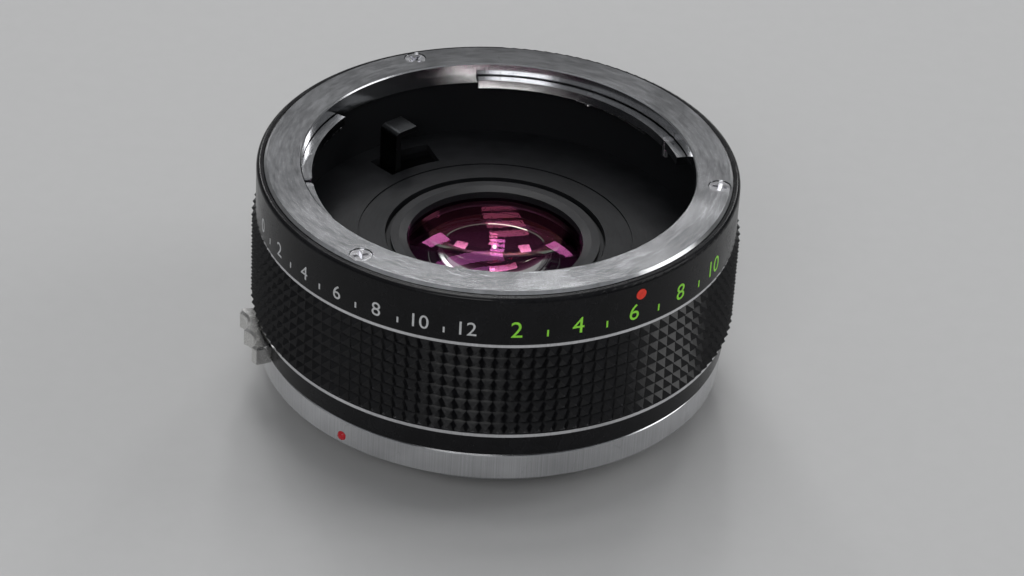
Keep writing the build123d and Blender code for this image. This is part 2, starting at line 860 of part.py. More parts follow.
def shroud_screws():
    screw = cheese_screw(shroud_screw_radius, shroud_screw_head_radius,
                         shroud_screw_head_height, shroud_screw_length)
    level = hub_tail_bottom - shroud_plate_thickness
    return [at(shroud_screw_circle, angle, level) * Rot(180, 0, 0) * screw
            for angle in shroud_screw_angles]


def foot_angles():
    """The angles of the two screws in a lever's foot."""
    return [lever_angle - foot_angle * share for share in foot_screw_shares]


def foot_circle():
    return (foot_inner_radius + coupling_ring_radius) / 2


def coupling_ring():
    ring = tube(coupling_ring_radius, hub_radius + running_gap, ring_bottom, ring_top)
    ear_low = hook_height - ear_thickness - hook_radius
    ear = upright(ear_radius, ear_low, ear_low + ear_thickness)
    reach = post_circle - hub_radius
    arm = Box(reach - overrun, ear_radius * 2, ear_thickness,
              align=(Align.MAX, Align.CENTER, Align.MIN))
    post = upright(post_radius, ear_low + ear_thickness - fit_gap, post_top)
    ring += at(post_circle, hook_angle) * (ear + Pos(0, 0, ear_low) * arm + post)
    thread = upright(foot_screw_radius + fit_gap, ring_top - foot_screw_length, ring_top + overrun)
    under = upright(foot_screw_radius + fit_gap, ring_bottom - overrun,
                    ring_bottom + foot_screw_length)
    for angle, tool in zip(foot_angles() + foot_angles(), (thread, thread, under, under)):
        ring -= at(foot_circle(), angle) * tool
    return ring


def coupling_clip():
    inner = clip_groove_radius + fit_gap
    return sector(clip_radius, inner, clip_bottom, clip_bottom + clip_thickness,
                  clip_opening_angle / 2, 360 - clip_opening_angle / 2)


def lever_foot(low):
    """A flat arc on the coupling ring, clockwise from the middle of the blade."""
    foot = sector(coupling_ring_radius, foot_inner_radius, low, low + foot_thickness,
                  lever_angle - foot_angle, lever_angle)
    hole = upright(foot_screw_radius + fit_gap, low - overrun, low + foot_thickness + overrun)
    for angle in foot_angles():
        foot -= at(foot_circle(), angle) * hole
    return foot


def front_aperture_lever():
    """A bent strip: a foot on the ring, a blade up through the floor and a tab on top."""
    top = face_height - lever_depth_below_face
    half = lever_thickness / 2
    blade = [(half, ring_top), (half, top), (half - lever_tab_length, top)]
    blade += [(half - lever_tab_length, top - lever_tab_thickness)]
    blade += [(-half, top - lever_tab_thickness), (-half, ring_top)]
    strip = extrude(Plane.YZ * make_face(Polyline(*blade, close=True)),
                    lever_outer_radius - lever_inner_radius)
    strip = Pos(lever_inner_radius, 0, 0) * strip
    outer = strip.edges().filter_by(Axis.X).group_by(Axis.Z)[-1].sort_by(Axis.Y)[-1]
    strip = fillet(outer, lever_bend_radius)
    return Rot(0, 0, lever_angle) * strip + lever_foot(ring_top)


def rear_aperture_lever():
    low = ring_bottom - foot_thickness
    blade = Box(rear_lever_outer_radius - foot_inner_radius, lever_thickness,
                low + foot_thickness + rear_lever_reach, align=(Align.MIN, Align.CENTER, Align.MIN))
    blade = Pos(foot_inner_radius, 0, -rear_lever_reach) * blade
    ends = blade.edges().filter_by(Axis.Y).group_by(Axis.Z)[0]
    blade = fillet(ends, blade_end_round)
    return Rot(0, 0, lever_angle) * blade + lever_foot(low)


def lever_screws():
    screw = cheese_screw(foot_screw_radius, foot_screw_head_radius, foot_screw_head_height,
                         foot_screw_length)
    upper = [at(foot_circle(), angle, ring_top + foot_thickness) * screw
             for angle in foot_angles()]
    lower = [at(foot_circle(), angle, ring_bottom - foot_thickness) * Rot(180, 0, 0) * screw
             for angle in foot_angles()]
    return upper + lower


def return_spring():
    """A pulled coil in the cavity, hooked behind the barrel's post and the ring's post."""
    half_span = post_circle * math.sin(math.radians((anchor_angle - hook_angle) / 2))
    middle = post_circle * math.cos(math.radians((anchor_angle - hook_angle) / 2))
    coil_half = half_span - hook_radius - coil_end_gap
    stations = []
    for turn in (180, 90, 0):
        angle = math.radians(90 + turn)
        place = Vector(math.cos(angle), math.sin(angle), 0) * hook_radius
        way = Vector(math.sin(angle), -math.cos(angle), 0)
        stations.append((place + Vector(-half_span, 0, 0), way))
    coil = coil_stations(hook_radius, -coil_half, coil_half, return_spring_turns)
    for place, way in coil:
        stations.append((Vector(place.Z, place.X, place.Y), Vector(way.Z, way.X, way.Y)))
    for turn in (0, 90, 180):
        angle = math.radians(90 - turn)
        place = Vector(math.cos(angle), math.sin(angle), 0) * hook_radius
        way = Vector(math.sin(angle), -math.cos(angle), 0)
        stations.append((place + Vector(half_span, 0, 0), way))
    wire = bent_wire(stations, spring_wire_radius)
    middle_angle = (anchor_angle + hook_angle) / 2
    return at(middle, middle_angle, hook_height) * Rot(0, 0, -90) * wire


def lock_spring():
    stations = coil_stations(lock_spring_radius, lock_spring_low + spring_wire_radius,
                             lock_spring_high - spring_wire_radius, lock_spring_turns)
    wire = bent_wire(stations, spring_wire_radius)
    return at(lock_circle, lock_angle) * wire


def lock_pin():
    """A pin with a collar for its spring and a foot that the release lever's cam presses."""
    foot_bottom = foot_top - lock_foot_thickness
    pin = upright(lock_pin_radius, foot_bottom, lock_top)
    pin += upright(lock_collar_radius, collar_bottom, collar_bottom + lock_collar_thickness)
    foot = Box(lock_foot_radius - lock_circle, lock_pin_radius * 2, lock_foot_thickness,
               align=(Align.MIN, Align.CENTER, Align.MIN))
    return at(lock_circle, lock_angle) * (pin + Pos(0, 0, foot_bottom) * foot)


def rim_point(radius, angle):
    """A flat point at a radius and an angle."""
    turn = math.radians(angle)
    return (radius * math.cos(turn), radius * math.sin(turn))


def thumb_outline():
    """The thumb piece from above: hollow arcs between peaks, and a plain end each side."""
    first = (thumb_start_angle + thumb_end_angle + thumb_peak_angle * thumb_scallops) / 2
    edges = []
    for scallop in range(thumb_scallops):
        start = first - thumb_peak_angle * scallop
        edges.append(ThreePointArc(
            rim_point(thumb_peak_radius, start),
            rim_point(thumb_valley_radius, start - thumb_peak_angle / 2),
            rim_point(thumb_peak_radius, start - thumb_peak_angle)))
    inner = rear_band_radius + running_gap
    base = CenterArc((0, 0), inner, thumb_end_angle, thumb_start_angle - thumb_end_angle)
    corner = rim_point(thumb_corner_radius, thumb_start_angle)
    edges += [Line(base @ 1, corner), Line(corner, edges[0] @ 0)]
    corner = rim_point(thumb_corner_radius, thumb_end_angle)
    edges += [Line(edges[thumb_scallops - 1] @ 1, corner), Line(corner, base @ 0)]
    return make_face(edges + [base])


def release_lever():
    """Thumb piece outside the band, neck through its slot and cam over the pin's foot."""
    thumb = Pos(0, 0, thumb_bottom) * extrude(thumb_outline(), thumb_thickness)
    outer = thumb.edges().group_by(Axis.Z)[-1].filter_by(
        lambda edge: edge.center().X ** 2 + edge.center().Y ** 2 > rear_band_radius ** 2)
    thumb = chamfer(outer, thumb_edge_chamfer)
    first = thumb_start_angle - thumb_shoulder_angle
    last = thumb_end_angle + thumb_shoulder_angle
    plate = sector(rear_band_radius + running_gap * 2, plate_inner_radius, thumb_bottom,
                   thumb_top, first, last)
    cam = sector(neck_radius - slide_gap, cam_inner_radius, thumb_bottom, cam_top_height,
                 first, last)
    start_side = cam_radius * math.sin(math.radians(last - lock_angle)) - overrun
    cam_end = release_travel_angle + math.degrees(lock_pin_radius / cam_radius) + cam_end_angle / 3
    end_side = cam_radius * math.sin(math.radians(cam_end))
    low = thumb_bottom - overrun
    channel = [
        (start_side, low),
        (end_side, low),
        (end_side, cam_start_height - cam_slope * end_side),
        (0, cam_start_height),
        (start_side, cam_start_height),
    ]
    length = plate_inner_radius - cam_inner_radius + overrun
    tool = extrude(Plane.YZ * make_face(Polyline(*channel, close=True)), length)
    cam -= at(cam_inner_radius - overrun, lock_angle) * tool
    return thumb + plate + cam


def build():
    save("front_mount_ring", front_mount_ring())
    save("front_mount_screws", *face_screws())
    save("bayonet_springs", *[leaf_spring(end) for end in leaf_end_angles()])
    save("spring_rivets", *spring_rivets())
    save("stop_pin", stop_pin())
    save("front_barrel", front_barrel())
    save("front_index_dot", front_index_dot())
    save("upper_trim_ring", trim_ring(grip_top))
    save("grip_sleeve", grip_sleeve())
    save("lower_trim_ring", trim_ring(shoulder_height))
    save("rear_barrel", rear_barrel())
    save("barrel_screws", *barrel_screws())
    save("rear_mount_ring", rear_mount_ring())
    save("rear_mount_screws", *rear_screws())
    save("rear_index_bead", rear_index_bead())
    save("front_baffle", front_baffle())
    save("lens_cell", lens_cell())
    save("front_lens_ring", front_lens_ring())
    save("front_element", lens(front_level, front_rim, *front_lens_curves))
    save("front_spacer", spacer(second_level + second_rim, front_level))
    save("second_element", lens(second_level, second_rim, *second_lens_curves))
    save("middle_spacer", spacer(third_level + third_rim, second_level))
    save("third_element", lens(third_level, third_rim, *third_lens_curves))
    save("rear_spacer", spacer(rear_level + rear_rim, third_level))
    save("rear_element", lens(rear_level, rear_rim, *rear_lens_curves))
    save("rear_lens_ring", rear_lens_ring())
    save("rear_shroud", rear_shroud())
    save("shroud_screws", *shroud_screws())
    save("coupling_ring", coupling_ring())
    save("coupling_clip", coupling_clip())
    save("front_aperture_lever", front_aperture_lever())
    save("rear_aperture_lever", rear_aperture_lever())
    save("lever_screws", *lever_screws())
    save("return_spring", return_spring())
    save("release_lever", release_lever())
    save("lock_pin", lock_pin())
    save("lock_spring", lock_spring())


build()
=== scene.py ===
"""Dresses a camera teleconverter: metals, black coatings, coated glass, printed scales,
and a plain studio round it. Lengths in the panel are metres, as everywhere in Blender."""

import math

import bpy
from bpy.props import FloatProperty, FloatVectorProperty, PointerProperty
from bpy.types import Operator, Panel, PropertyGroup
from mathutils import Matrix, Vector


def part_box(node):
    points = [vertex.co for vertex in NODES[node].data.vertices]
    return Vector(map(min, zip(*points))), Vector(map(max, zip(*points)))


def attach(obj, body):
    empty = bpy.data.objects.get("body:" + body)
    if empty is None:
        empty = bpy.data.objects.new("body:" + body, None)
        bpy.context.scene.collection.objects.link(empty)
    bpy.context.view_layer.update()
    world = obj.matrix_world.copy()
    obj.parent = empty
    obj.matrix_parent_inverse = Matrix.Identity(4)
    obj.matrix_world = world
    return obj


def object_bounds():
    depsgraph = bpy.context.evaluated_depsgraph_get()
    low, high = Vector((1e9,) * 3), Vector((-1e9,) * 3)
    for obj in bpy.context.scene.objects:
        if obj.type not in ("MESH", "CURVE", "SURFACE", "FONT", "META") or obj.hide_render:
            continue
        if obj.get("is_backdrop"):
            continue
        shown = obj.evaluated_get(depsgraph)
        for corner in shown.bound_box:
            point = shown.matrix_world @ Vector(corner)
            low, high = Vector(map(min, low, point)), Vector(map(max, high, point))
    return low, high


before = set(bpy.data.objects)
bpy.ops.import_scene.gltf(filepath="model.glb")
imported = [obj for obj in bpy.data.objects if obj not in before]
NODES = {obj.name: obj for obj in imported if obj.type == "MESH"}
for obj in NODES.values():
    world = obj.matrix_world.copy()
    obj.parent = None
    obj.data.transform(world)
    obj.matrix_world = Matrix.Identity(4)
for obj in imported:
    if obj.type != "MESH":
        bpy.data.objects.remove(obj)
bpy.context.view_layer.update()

bl_info = {
    "name": "Teleconverter Dresser",
    "version": (1, 0, 0),
    "blender": (4, 5, 0),
    "location": "3D View > Sidebar > Converter",
    "description": "Finishes, printed scales and a plain studio for a camera teleconverter",
    "category": "Object",
}

MM = 0.001


def node_top(name):
    """The height of the top of a CAD piece."""
    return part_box(name)[1][2]


def node_reach(name):
    """How far a round CAD piece reaches from the optical axis."""
    return max(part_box(name)[1][:2])


# Radii in millimetres where a finish changes
BAND_REACH = node_reach("front_barrel") / MM
GRIP_REACH = node_reach("grip_sleeve") / MM
RIM_RADIUS = 30.0
CHAMBER_WALL_RADIUS = BAND_REACH - 3.0
CHAMBER_WALL_BLEND = 0.1
WORN_TIP_RADII = (GRIP_REACH - 0.17, GRIP_REACH - 0.01)
DUSTY_VALLEY_RADII = (GRIP_REACH - 0.35, GRIP_REACH - 0.75)


def tint(name, text, colour):
    """A colour property with three channels."""
    return FloatVectorProperty(name=name, description=text, default=colour, size=3,
                               min=0.0, max=1.0, subtype="COLOR")


class ConverterColours(PropertyGroup):
    """The colours of the finishes."""

    flange_metal: tint("Flange metal", "Satin-turned bayonet flanges", (0.58, 0.585, 0.60))
    trim_metal: tint("Trim metal", "Thin bright rings beside the grip", (0.72, 0.72, 0.74))
    lever_metal: tint("Lever metal", "Satin chrome of the thumb lever", (0.66, 0.655, 0.64))
    screw_metal: tint("Screw metal", "Polished screw heads, pins and rivets", (0.70, 0.70, 0.72))
    spring_metal: tint("Spring metal", "Leaf springs and coils", (0.42, 0.42, 0.43))
    dark_metal: tint("Dark metal", "Blackened aperture levers", (0.050, 0.052, 0.055))
    brass: tint("Brass", "The turned coupling ring", (0.55, 0.42, 0.20))
    band_black: tint("Band black", "Satin black of both barrels", (0.005, 0.005, 0.006))
    grip_black: tint("Grip black", "Black of the knurled grip", (0.004, 0.004, 0.005))
    grip_wear: tint("Grip wear", "Metal that shows at worn pyramid tips", (0.12, 0.12, 0.13))
    inner_black: tint("Inner black", "Flat black against stray light", (0.010, 0.0105, 0.012))
    bezel_grey: tint("Bezel grey", "The ring round the front glass", (0.015, 0.015, 0.017))
    coating: tint("Coating", "Reflection of the outer glass", (1.0, 0.25, 0.68))
    amber_coating: tint("Amber coating", "Reflection of the second glass", (1.0, 0.32, 0.34))
    violet_coating: tint("Violet coating", "Reflection of the third glass", (0.85, 0.16, 0.92))
    glass_body: tint("Glass body", "What the outer glass lets through", (0.86, 0.82, 0.80))
    inner_body: tint("Inner body", "What the inner glass lets through", (0.78, 0.70, 0.66))
    dot_red: tint("Dot red", "The filled index dot", (0.92, 0.045, 0.02))
    bead_red: tint("Bead red", "The index bead on the rear flange", (0.55, 0.02, 0.03))
    scale_white: tint("Scale white", "The left printed scale", (0.62, 0.63, 0.64))
    scale_green: tint("Scale green", "The right printed scale", (0.33, 0.86, 0.06))
    floor: tint("Floor", "The studio floor", (0.50, 0.50, 0.50))
    sky: tint("Sky", "The even light from all round", (0.95, 0.97, 1.0))


class ConverterSizes(PropertyGroup):
    """The sizes of what is printed and of the studio."""

    band_radius: FloatProperty(
        name="Band radius", description="Radius of the band that carries the scales",
        default=node_reach("front_barrel"), unit="LENGTH")
    ink_thickness: FloatProperty(
        name="Ink thickness", description="How far the filled marks stand out of the band",
        default=0.02 * MM, unit="LENGTH")
    white_height: FloatProperty(
        name="White figure height", description="Height of the figures of the left scale",
        default=1.95 * MM, unit="LENGTH")
    white_middle: FloatProperty(
        name="White middle", description="Height of the left scale's middle above the seat",
        default=node_top("upper_trim_ring") + 2.11 * MM, unit="LENGTH")
    white_start: FloatProperty(
        name="White start", description="Angle where the left scale starts",
        default=math.radians(-161), subtype="ANGLE")
    white_end: FloatProperty(
        name="White end", description="Angle where the left scale ends",
        default=math.radians(-95), subtype="ANGLE")
    green_height: FloatProperty(
        name="Green figure height", description="Height of the figures of the right scale",
        default=2.3 * MM, unit="LENGTH")
    green_middle: FloatProperty(
        name="Green middle", description="Height of the right scale's middle above the seat",
        default=node_top("upper_trim_ring") + 2.31 * MM, unit="LENGTH")
    green_start: FloatProperty(
        name="Green start", description="Angle where the right scale starts",
        default=math.radians(-84), subtype="ANGLE")
    green_end: FloatProperty(
        name="Green end", description="Angle where the right scale ends",
        default=math.radians(-27), subtype="ANGLE")
    tick_width: FloatProperty(
        name="Tick width", description="Width of a graduation mark",
        default=0.24 * MM, unit="LENGTH")
    tick_share: FloatProperty(
        name="Tick share", description="Height of a graduation mark as a share of a figure's",
        default=0.42, subtype="FACTOR")
    floor_reach: FloatProperty(
        name="Floor reach", description="Radius of the flat part of the floor",
        default=1.6, unit="LENGTH")
    wall_height: FloatProperty(
        name="Wall height", description="Height of the backdrop",
        default=1.5, unit="LENGTH")
    aim_height: FloatProperty(
        name="Aim height", description="Height of the point that the lamps face",
        default=15 * MM, unit="LENGTH")
    sky_strength: FloatProperty(
        name="Sky strength", description="Strength of the even light from all round",
        default=0.30)
    camera_distance: FloatProperty(
        name="Camera distance", description="From the middle of the front face to the camera",
        default=460.2 * MM, unit="LENGTH")
    camera_rise: FloatProperty(
        name="Camera rise", description="Angle of the camera above the horizon",
        default=math.radians(31.42), subtype="ANGLE")
    camera_roll: FloatProperty(
        name="Camera roll", description="Tilt of the camera about its own axis",
        default=math.radians(3.09), subtype="ANGLE")
    sensor_width: FloatProperty(
        name="Sensor width", description="Width of the camera's sensor in millimetres",
        default=36.0)
    focal_length: FloatProperty(
        name="Focal length", description="Focal length of the camera in millimetres",
        default=124.42)


# Materials


class Finish:
    """A principled material that is built node by node."""

    def __init__(self, name):
        self.material = bpy.data.materials.new(name)
        self.material.use_nodes = True
        self.nodes = self.material.node_tree.nodes
        self.links = self.material.node_tree.links
        self.shader = self.nodes["Principled BSDF"]
        place = self.nodes.new("ShaderNodeTexCoord")
        scale = self.nodes.new("ShaderNodeVectorMath")
        scale.operation = "SCALE"
        scale.inputs["Scale"].default_value = 1 / MM
        self.links.new(place.outputs["Object"], scale.inputs[0])
        self.place = scale.outputs["Vector"]
        self.parts = None

    def value(self, operation, first, second=None, third=None):
        """A math node. Numbers are set, and sockets are linked."""
        node = self.nodes.new("ShaderNodeMath")
        node.operation = operation
        for socket, item in zip(node.inputs, (first, second, third)):
            if item is None:
                continue
            if isinstance(item, (int, float)):
                socket.default_value = item
            else:
                self.links.new(item, socket)
        return node.outputs[0]

    def axes(self):
        """The three coordinates in millimetres."""
        if self.parts is None:
            node = self.nodes.new("ShaderNodeSeparateXYZ")
            self.links.new(self.place, node.inputs[0])
            self.parts = (node.outputs[0], node.outputs[1], node.outputs[2])
        return self.parts

    def radius(self):
        """The distance from the optical axis in millimetres."""
        x, y, z = self.axes()
        square = self.value("MULTIPLY_ADD", y, y, self.value("MULTIPLY", x, x))
        return self.value("SQRT", square)

    def angle(self):
        """The angle about the optical axis in radians."""
        x, y, z = self.axes()
        return self.value("ARCTAN2", y, x)

    def vector(self, x, y, z):
        """A vector of three numbers or sockets."""
        node = self.nodes.new("ShaderNodeCombineXYZ")
        for socket, item in zip(node.inputs, (x, y, z)):
            if isinstance(item, (int, float)):
                socket.default_value = item
            else:
                self.links.new(item, socket)
        return node.outputs[0]

    def noise(self, scale, detail=4.0, rough=0.55, place=None):
        """Cloudy noise from 0 to 1, with its scale per millimetre."""
        node = self.nodes.new("ShaderNodeTexNoise")
        node.inputs["Scale"].default_value = scale
        node.inputs["Detail"].default_value = detail
        node.inputs["Roughness"].default_value = rough
        self.links.new(place or self.place, node.inputs["Vector"])
        return node.outputs["Fac"]

    def turned_lines(self, scale):
        """Fine rings about the optical axis, as a lathe tool leaves them."""
        x, y, z = self.axes()
        waver = 0.15
        line = self.vector(self.value("ADD", self.radius(), z), self.value("MULTIPLY", x, waver),
                           self.value("MULTIPLY", y, waver))
        return self.noise(scale, 5.0, 0.75, line)

    def upright_lines(self, scale):
        """Fine lines along the optical axis, as brushing across the rim leaves them."""
        line = self.vector(self.value("MULTIPLY", self.angle(), RIM_RADIUS), 0.0, 0.0)
        return self.noise(scale, 4.0, 0.75, line)

    def scratches(self, scale, amount):
        """Sparse thin scratches, from 0 to 1."""
        stretch = (1.0, 0.07, 0.3)
        bent = self.nodes.new("ShaderNodeVectorMath")
        bent.operation = "MULTIPLY"
        bent.inputs[1].default_value = stretch
        self.links.new(self.place, bent.inputs[0])
        lines = self.noise(scale, 2.0, 0.5, bent.outputs["Vector"])
        gap = self.value("ABSOLUTE", self.value("SUBTRACT", lines, 0.5))
        return self.value("SUBTRACT", 1.0, self.band(gap, 0.0, amount))

    def band(self, source, low, high, start=0.0, end=1.0):
        """Maps low..high to start..end, with nothing past the ends."""
        node = self.nodes.new("ShaderNodeMapRange")
        node.inputs["From Min"].default_value = low
        node.inputs["From Max"].default_value = high
        node.inputs["To Min"].default_value = start
        node.inputs["To Max"].default_value = end
        self.links.new(source, node.inputs["Value"])
        return node.outputs["Result"]

    def blend(self, factor, first, second):
        """A colour between two colours."""
        node = self.nodes.new("ShaderNodeMix")
        node.data_type = "RGBA"
        colours = [socket for socket in node.inputs if socket.type == "RGBA"]
        self.links.new(factor, node.inputs[0])
        for socket, item in zip(colours, (first, second)):
            if hasattr(item, "is_linked"):
                self.links.new(item, socket)
            else:
                socket.default_value = (*item, 1.0)
        return [socket for socket in node.outputs if socket.type == "RGBA"][0]

    def bump(self, source, depth):
        """Relief of a depth in millimetres."""
        node = self.nodes.new("ShaderNodeBump")
        node.inputs["Distance"].default_value = depth * MM
        self.links.new(source, node.inputs["Height"])
        self.links.new(node.outputs["Normal"], self.shader.inputs["Normal"])

    def set(self, **values):
        """Sets numbers and colours on the shader, or links sockets to it."""
        for key, item in values.items():
            socket = self.shader.inputs[key.replace("_", " ")]
            if hasattr(item, "is_linked"):
                self.links.new(item, socket)
            elif isinstance(item, tuple) and len(item) == 3:
                socket.default_value = (*item, 1.0)
            else:
                socket.default_value = item


def shade(colour, factor):
    """A colour made darker or lighter."""
    return tuple(min(1.0, channel * factor) for channel in colour)


def flange_finish(name, colour, depth):
    """Satin metal with tool marks of a depth, round the axis on flats and upright on rims."""
    finish = Finish(name)
    rings = finish.turned_lines(2.4)
    strokes = finish.upright_lines(4.0)
    cloud = finish.noise(0.12, 3.0)
    normal = finish.nodes.new("ShaderNodeNewGeometry")
    split = finish.nodes.new("ShaderNodeSeparateXYZ")
    finish.links.new(normal.outputs["Normal"], split.inputs[0])
    flat = finish.band(finish.value("ABSOLUTE", split.outputs[2]), 0.4, 0.8)
    grain = finish.value("MULTIPLY_ADD", finish.value("SUBTRACT", rings, strokes), flat, strokes)
    tone = finish.value("MULTIPLY_ADD", grain, 0.6, finish.value("MULTIPLY", cloud, 0.4))
    marks = finish.scratches(0.35, 0.004)
    mixed = finish.blend(finish.band(tone, 0.3, 0.7), shade(colour, 0.58), shade(colour, 1.22))
    finish.set(Base_Color=finish.blend(finish.value("MULTIPLY", marks, 0.35), mixed,
                                       shade(colour, 0.55)))
    finish.set(Metallic=1.0, Roughness=finish.band(tone, 0.3, 0.7, 0.11, 0.20), Anisotropic=0.3)
    tangent = finish.nodes.new("ShaderNodeTangent")
    tangent.direction_type = "RADIAL"
    tangent.axis = "Z"
    finish.links.new(tangent.outputs["Tangent"], finish.shader.inputs["Tangent"])
    finish.bump(grain, depth)
    return finish.material


def bright_finish(name, colour, roughness):
    """Smooth bright metal with a little haze and a few hairline marks."""
    finish = Finish(name)
    cloud = finish.noise(0.9, 4.0)
    marks = finish.scratches(1.1, 0.006)
    base = finish.blend(finish.band(cloud, 0.3, 0.7), shade(colour, 0.85), shade(colour, 1.06))
    finish.set(Base_Color=finish.blend(finish.value("MULTIPLY", marks, 0.4), base,
                                       shade(colour, 0.5)))
    finish.set(Metallic=1.0)
    finish.set(Roughness=finish.band(cloud, 0.3, 0.7, roughness * 0.75, roughness * 1.35))
    finish.bump(finish.noise(7.0, 3.0), 0.0012)
    return finish.material


def brushed_finish(name, colour, roughness):
    """Straight-brushed metal for the thumb lever and the aperture levers."""
    finish = Finish(name)
    x, y, z = finish.axes()
    stroke = finish.noise(5.0, 4.0, 0.7, finish.vector(finish.value("MULTIPLY", x, 0.15),
                                                        finish.value("MULTIPLY", y, 2.0), z))
    cloud = finish.noise(0.6, 3.0)
    tone = finish.value("MULTIPLY_ADD", stroke, 0.6, finish.value("MULTIPLY", cloud, 0.4))
    finish.set(Base_Color=finish.blend(finish.band(tone, 0.3, 0.7), shade(colour, 0.78),
                                       shade(colour, 1.12)))
    finish.set(Metallic=1.0)
    finish.set(Roughness=finish.band(tone, 0.3, 0.7, roughness * 0.8, roughness * 1.3))
    finish.bump(stroke, 0.002)
    return finish.material


def barrel_finish(name, colour, inner):
    """Satin black outside and flat black inside, with faint handling marks."""
    finish = Finish(name)
    inside = finish.band(finish.radius(), CHAMBER_WALL_RADIUS - CHAMBER_WALL_BLEND,
                         CHAMBER_WALL_RADIUS + CHAMBER_WALL_BLEND, 1.0, 0.0)
    cloud = finish.noise(0.25, 5.0)
    speck = finish.band(finish.noise(5.5, 2.0), 0.70, 0.76)
    marks = finish.scratches(0.5, 0.005)
    outside = finish.blend(finish.band(cloud, 0.3, 0.7), shade(colour, 0.8), shade(colour, 1.4))
    outside = finish.blend(finish.value("MULTIPLY", marks, 0.15), outside, (0.05, 0.05, 0.055))
    outside = finish.blend(finish.value("MULTIPLY", speck, 0.08), outside, (0.16, 0.16, 0.16))
    finish.set(Base_Color=finish.blend(inside, outside, inner))
    gloss = finish.band(cloud, 0.3, 0.7, 0.20, 0.31)
    change = finish.value("SUBTRACT", 0.52, gloss)
    finish.set(Roughness=finish.value("MULTIPLY_ADD", change, inside, gloss))
    finish.set(Metallic=0.0, IOR=1.5, Specular_IOR_Level=0.17)
    finish.bump(finish.noise(9.0, 3.0), 0.003)
    return finish.material


def grip_finish(name, colour, wear):
    """Black pyramids whose tips are rubbed bright here and there."""
    finish = Finish(name)
    tips = finish.band(finish.radius(), *WORN_TIP_RADII)
    patch = finish.band(finish.noise(0.16, 4.0), 0.42, 0.68)
    fine = finish.band(finish.noise(2.2, 3.0), 0.38, 0.62)
    worn = finish.value("MULTIPLY", tips, finish.value("MULTIPLY", patch, fine))
    cloud = finish.noise(1.1, 4.0)
    base = finish.blend(finish.band(cloud, 0.3, 0.7), shade(colour, 0.7), shade(colour, 1.5))
    dust = finish.band(finish.radius(), *DUSTY_VALLEY_RADII)
    lint = finish.value("MULTIPLY", dust, finish.band(finish.noise(3.0, 4.0), 0.5, 0.75, 0.0, 0.35))
    base = finish.blend(lint, base, (0.014, 0.014, 0.013))
    finish.set(Base_Color=finish.blend(finish.value("MULTIPLY", worn, 0.45), base, wear))
    finish.set(Metallic=0.0, IOR=1.5, Specular_IOR_Level=0.32)
    finish.set(Roughness=finish.band(cloud, 0.3, 0.7, 0.15, 0.26))
    finish.bump(finish.noise(6.0, 3.0), 0.006)
    return finish.material


def flat_black_finish(name, colour, roughness):
    """Flat black lacquer with a fine tooth and faint tool rings."""
    finish = Finish(name)
    cloud = finish.noise(0.35, 4.0)
    rings = finish.turned_lines(3.5)
    speck = finish.band(finish.noise(7.0, 2.0), 0.71, 0.77)
    base = finish.blend(finish.band(cloud, 0.3, 0.7), shade(colour, 0.8), shade(colour, 1.25))
    finish.set(Base_Color=finish.blend(finish.value("MULTIPLY", speck, 0.08), base,
                                       (0.20, 0.20, 0.20)))
    finish.set(Metallic=0.0, IOR=1.5, Specular_IOR_Level=0.22)
    finish.set(Roughness=finish.band(rings, 0.3, 0.7, roughness * 0.85, roughness * 1.1))
    finish.bump(finish.value("MULTIPLY_ADD", rings, 0.6, finish.noise(11.0, 3.0)), 0.006)
    return finish.material


def glass_finish(name, coating, body, index, film):
    """Glass of a refractive index, with a coating whose film is given in nanometres."""
    finish = Finish(name)
    dust = finish.band(finish.noise(2.4, 5.0, 0.7), 0.60, 0.85, 0.0, 0.05)
    finish.set(Base_Color=body, Roughness=dust, IOR=index, Transmission_Weight=1.0)
    finish.set(Specular_Tint=coating, Thin_Film_Thickness=film, Thin_Film_IOR=1.38)
    return finish.material


def enamel_finish(name, colour, roughness):
    """Enamel or ink with slight unevenness."""
    finish = Finish(name)
    cloud = finish.noise(2.0, 4.0)
    finish.set(Base_Color=finish.blend(finish.band(cloud, 0.3, 0.7), shade(colour, 0.82),
                                       shade(colour, 1.1)))
    finish.set(Roughness=finish.band(cloud, 0.3, 0.7, roughness * 0.8, roughness * 1.2))
    finish.set(Specular_IOR_Level=0.3, Coat_Weight=0.1, Coat_Roughness=0.15)
    finish.bump(finish.noise(6.0, 3.0), 0.004)
    return finish.material


def floor_finish(name, colour):
    """Pale matt paper that shows as the background to the camera, metal and glass."""
    finish = Finish(name)
    tooth = finish.noise(0.35, 5.0)
    finish.set(Base_Color=finish.blend(finish.band(tooth, 0.3, 0.7), shade(colour, 0.98), colour))
    finish.set(Roughness=0.85)
    finish.bump(tooth, 0.02)
    return finish.material


def coat(material, *names):
    """Gives CAD nodes one material."""
    for name in names:
        mesh_object = NODES[name]
        mesh_object.data.materials.clear()
        mesh_object.data.materials.append(material)


class CONVERTER_OT_flanges(Operator):
    """Finish both bayonet flanges and the trim rings beside the grip"""
    bl_idname = "converter.flanges"
    bl_label = "Flanges and Trim"

    def execute(self, context):
        colours = context.scene.converter_colours
        coat(flange_finish("turned_flange", tuple(colours.flange_metal), depth=0.0042),
             "front_mount_ring", "rear_mount_ring")
        coat(flange_finish("bright_trim", tuple(colours.trim_metal), depth=0.001),
             "upper_trim_ring", "lower_trim_ring")
        return {"FINISHED"}


